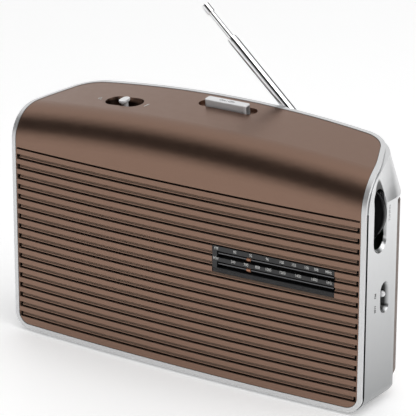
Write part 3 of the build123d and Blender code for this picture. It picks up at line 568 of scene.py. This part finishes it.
def flat_shape(points, place, across, up):
    """Mesh of a flat printed outline: its corners along across and up from place, in mm."""
    across = Vector(across).normalized()
    up = Vector(up).normalized()
    out = across.cross(up)
    origin = Vector(place) * MM
    outline = [origin + across * (a * MM) + up * (b * MM) for a, b in points]
    count = len(outline)
    corners = [p - out * INK_HALF for p in outline] + [p + out * INK_HALF for p in outline]
    faces = [list(range(count - 1, -1, -1)), list(range(count, 2 * count))]
    faces += [[i, (i + 1) % count, count + (i + 1) % count, count + i] for i in range(count)]
    mesh = bpy.data.meshes.new("shape")
    mesh.from_pydata([tuple(c) for c in corners], [], faces)
    return mesh


def joined(name, meshes, material, body):
    """One object from several meshes, riding on a body."""
    corners = []
    faces = []
    for mesh in meshes:
        start = len(corners)
        corners += [tuple(v.co) for v in mesh.vertices]
        faces += [[start + i for i in polygon.vertices] for polygon in mesh.polygons]
    whole = bpy.data.meshes.new(name)
    whole.from_pydata(corners, [], faces)
    whole.materials.append(material)
    thing = bpy.data.objects.new(name, whole)
    bpy.context.scene.collection.objects.link(thing)
    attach(thing, body)


# dial figures, mm: (text, x) from left to right, the height of each row above the cover's base, the
# figures' height and narrowing, and how far behind the bowed front they are printed
FM_ROW = [("FM", 32.7), ("88", 47.9), ("92", 60.9), ("96", 74.1), ("100", 85.7), ("103", 95.3),
          ("106", 105.4), ("108", 112.7), ("MHz", 122.3)]
MW_ROW = [("MW", 32.4), ("540", 46.6), ("700", 57.1), ("850", 66.5), ("1000", 75.2),
          ("1200", 86.5), ("1400", 98.7), ("1600", 111.5), ("kHz", 122.9)]
FM_HEIGHT = 96.1
MW_HEIGHT = 88.6
FIGURE_CAP = 2.1
FIGURE_SQUEEZE = 0.86
DIAL_DEPTH = 0.10

# how far ahead of the front the side starts to bow in, mm
SIDE_START = -6.0

dial_words = []
for row, height in ((FM_ROW, FM_HEIGHT), (MW_ROW, MW_HEIGHT)):
    for text, x in row:
        bow_slope = x / math.sqrt(BOW_RADIUS**2 - x**2)
        dial_words.append(letters(text, FIGURE_CAP, (x, front_y(x) + DIAL_DEPTH, BASE + height),
                                  (1, bow_slope, 0), (0, 0, 1), FIGURE_SQUEEZE))
joined("dial_lettering", dial_words, ink_white, "case")


def side_word(text, cap, y, z, squeeze):
    """Lettering that reads upwards on the right side, which bows in a little to the rear."""
    run = y - SIDE_START
    inset = run**2 / (2 * SIDE_RADIUS)
    return letters(text, cap, (HALF_WIDTH - inset, FRONT_Y + y, BASE + z), (0, 0, 1),
                   (run / SIDE_RADIUS, -1, 0), squeeze)


joined("tuning_lettering", [side_word("TUNING", 2.2, 31.7, 134.6, 1.0)], ink_faint,
       "case")
joined("band_lettering", [side_word("MW", 2.4, 15.0, 69.9, 0.9), side_word("FM", 2.4, 15.0, 79.4, 0.9)],
       ink_grey, "case")

# a ring with a tail at the slide control's left end and a wedge at its right end, mm
TOP_UP = (0, 1, 0.123)
TOP_LIFT = 0.02
RING_OUTER = 1.5
RING_INNER = 1.05
RING_STEPS = 10
RING_TAIL = [(0.9, -1.9), (2.4, -2.3), (2.4, -1.8), (1.0, -1.3)]
WEDGE = [(-0.5, -2.4), (0.2, -2.4), (1.4, 2.4), (0.4, 2.4)]


def top_mark(points, x, y):
    """An outline printed on the top surface around x and y, mm."""
    return flat_shape(points, (x, y, top_z(x, y) + TOP_LIFT), (1, 0, -x / CROWN_RADIUS), TOP_UP)


def ring_part(index):
    """The corners of one of the straight parts that the ring is made of."""
    a = 2 * math.pi * index / RING_STEPS
    b = 2 * math.pi * (index + 1) / RING_STEPS
    return [(radius * math.cos(angle), radius * math.sin(angle))
            for radius, angle in ((RING_OUTER, a), (RING_OUTER, b), (RING_INNER, b), (RING_INNER, a))]


ring_outlines = [ring_part(index) for index in range(RING_STEPS)] + [RING_TAIL]
slide_marks = [top_mark(outline, -94.5, FRONT_Y + 34.6) for outline in ring_outlines]
slide_marks.append(top_mark(WEDGE, -52.5, FRONT_Y + 32.5))
joined("slide_marks", slide_marks, ink_white, "case")

# the power key's top rises to the rear and stands KEY_RISE mm above the cover
KEY_SLOPE = 0.12
KEY_RISE = 4.6
key_x = 4.7
key_y = FRONT_Y + 51.8
key_top = Vector((key_x, key_y, top_z(key_x, key_y)))
key_normal = Vector((0, -KEY_SLOPE, 1)).normalized()
key_word = letters("ON / OFF", 2.3, tuple(key_top + key_normal * KEY_RISE), (1, 0, 0),
                   (0, 1, KEY_SLOPE), squeeze=0.95)
joined("key_lettering", [key_word], ink_grey, "power")

# ---------------------------------------------------------------- floor and lamp, metres
FLOOR_HALF = 6
FLOOR_GLOW = 0.30
LAMP_PLACE = Vector((1.0, -0.3, 2.0))
LAMP_TARGET = Vector((0, 0, 0.1))
LAMP_SIDE = 2.0
LAMP_POWER = 20

floor_shader = Shader("pale floor", (0.90, 0.90, 0.90), roughness=0.6)
floor_shader.bump(floor_shader.noise(30, 3), height=0.0002, strength=0.1)
floor_shader.shader.inputs["Emission Color"].default_value = (1, 1, 1, 1)
floor_shader.shader.inputs["Emission Strength"].default_value = FLOOR_GLOW
floor_mesh = bpy.data.meshes.new("floor")
floor_mesh.from_pydata([(-FLOOR_HALF, -FLOOR_HALF, 0), (FLOOR_HALF, -FLOOR_HALF, 0),
                        (FLOOR_HALF, FLOOR_HALF, 0), (-FLOOR_HALF, FLOOR_HALF, 0)], [], [(0, 1, 2, 3)])
floor_mesh.materials.append(floor_shader.material)
floor = bpy.data.objects.new("floor", floor_mesh)
bpy.context.scene.collection.objects.link(floor)

lamp_data = bpy.data.lights.new("overhead", "AREA")
lamp_data.shape = "SQUARE"
lamp_data.size = LAMP_SIDE
lamp_data.energy = LAMP_POWER
lamp = bpy.data.objects.new("overhead", lamp_data)
lamp.location = LAMP_PLACE
lamp.rotation_euler = (LAMP_TARGET - LAMP_PLACE).to_track_quat("-Z", "Y").to_euler()
bpy.context.scene.collection.objects.link(lamp)

# ---------------------------------------------------------------- world
# The studio's brightness goes by the angle round the X axis, in degrees: 0 is ahead of the front, 90
# straight up and 180 behind. Directions to the left and to the right have their own table, and the
# two are mixed between LEFT_END and RIGHT_START, the x of a direction of length 1.
LEFT_SKY = ((0, 0.75), (10, 0.4), (22, 0.05), (54, 0.03), (72, 0.45), (92, 0.86), (150, 0.78))
RIGHT_SKY = ((-4, 0.5), (1, 0.0), (46, 0.0), (56, 1.0), (95, 0.6), (120, 0.9), (136, 0.0),
             (174, 0.0), (179, 0.3))
LEFT_END = -0.05
RIGHT_START = 0.25
WORLD_LEVEL = 1.05

world = bpy.data.worlds.new("studio")
bpy.context.scene.world = world
world.use_nodes = True
tree = world.node_tree
background = tree.nodes["Background"]


def step(kind, operation=None, values=None):
    """A node of the world, with the values of some inputs by their number."""
    made = tree.nodes.new(kind)
    if operation:
        made.operation = operation
    for index, value in (values or {}).items():
        made.inputs[index].default_value = value
    return made


def wire(source, target, index=0):
    tree.links.new(source, target.inputs[index])


coord = step("ShaderNodeTexCoord")
split = step("ShaderNodeSeparateXYZ")
forward = step("ShaderNodeMath", "MULTIPLY", {1: -1.0})
angle = step("ShaderNodeMath", "ARCTAN2")
turn = step("ShaderNodeMapRange", values={1: -math.pi, 2: math.pi})
wire(coord.outputs["Generated"], split)
wire(split.outputs["Y"], forward)
wire(split.outputs["Z"], angle, 0)
wire(forward.outputs["Value"], angle, 1)
wire(angle.outputs["Value"], turn)


def sky(stops):
    """Brightness by the angle, eased between the stops; below the floor it is white."""
    ramp = step("ShaderNodeValToRGB")
    ramp.color_ramp.interpolation = "EASE"
    for end in ramp.color_ramp.elements:
        end.color = (1, 1, 1, 1)
    for degrees, value in stops:
        element = ramp.color_ramp.elements.new((degrees + 180) / 360)
        element.color = (value, value, value, 1)
    wire(turn.outputs["Result"], ramp)
    return ramp.outputs["Color"]


side = step("ShaderNodeMapRange", values={1: LEFT_END, 2: RIGHT_START})
wire(split.outputs["X"], side)
both = step("ShaderNodeMix")
both.data_type = "FLOAT"
wire(side.outputs["Result"], both, 0)
wire(sky(LEFT_SKY), both, 2)
wire(sky(RIGHT_SKY), both, 3)
tree.links.new(both.outputs[0], background.inputs["Color"])
background.inputs["Strength"].default_value = WORLD_LEVEL

# ---------------------------------------------------------------- camera
# the photograph's view: angles in radians, lengths in mm, the image in pixels
YAW = 0.588397441
LIFT = 0.332763544
ROLL = 0.00326066135
SHIFT = -18.9944188
AWAY = 1754.52471
AIM = Vector((0, FRONT_Y, 118.0467 + BASE))
FOCAL = 2500
IMAGE = 416
SENSOR = 36

back = Vector((math.sin(YAW) * math.cos(LIFT), -math.cos(YAW) * math.cos(LIFT), math.sin(LIFT)))
right = Vector((math.cos(YAW), math.sin(YAW), 0))
upward = back.cross(right)
across = right * math.cos(ROLL) + upward * math.sin(ROLL)
above = upward * math.cos(ROLL) - right * math.sin(ROLL)
centre = (back * AWAY - across * SHIFT) * MM + AIM * MM
view = bpy.data.cameras.new("camera")
view.sensor_width = SENSOR
view.lens = FOCAL * SENSOR / IMAGE
view.clip_end = 20
camera = bpy.data.objects.new("camera", view)
camera.matrix_world = Matrix((
    (across.x, above.x, back.x, centre.x),
    (across.y, above.y, back.y, centre.y),
    (across.z, above.z, back.z, centre.z),
    (0, 0, 0, 1)))
bpy.context.scene.collection.objects.link(camera)
bpy.context.scene.camera = camera
bpy.context.scene.view_settings.view_transform = "Standard"
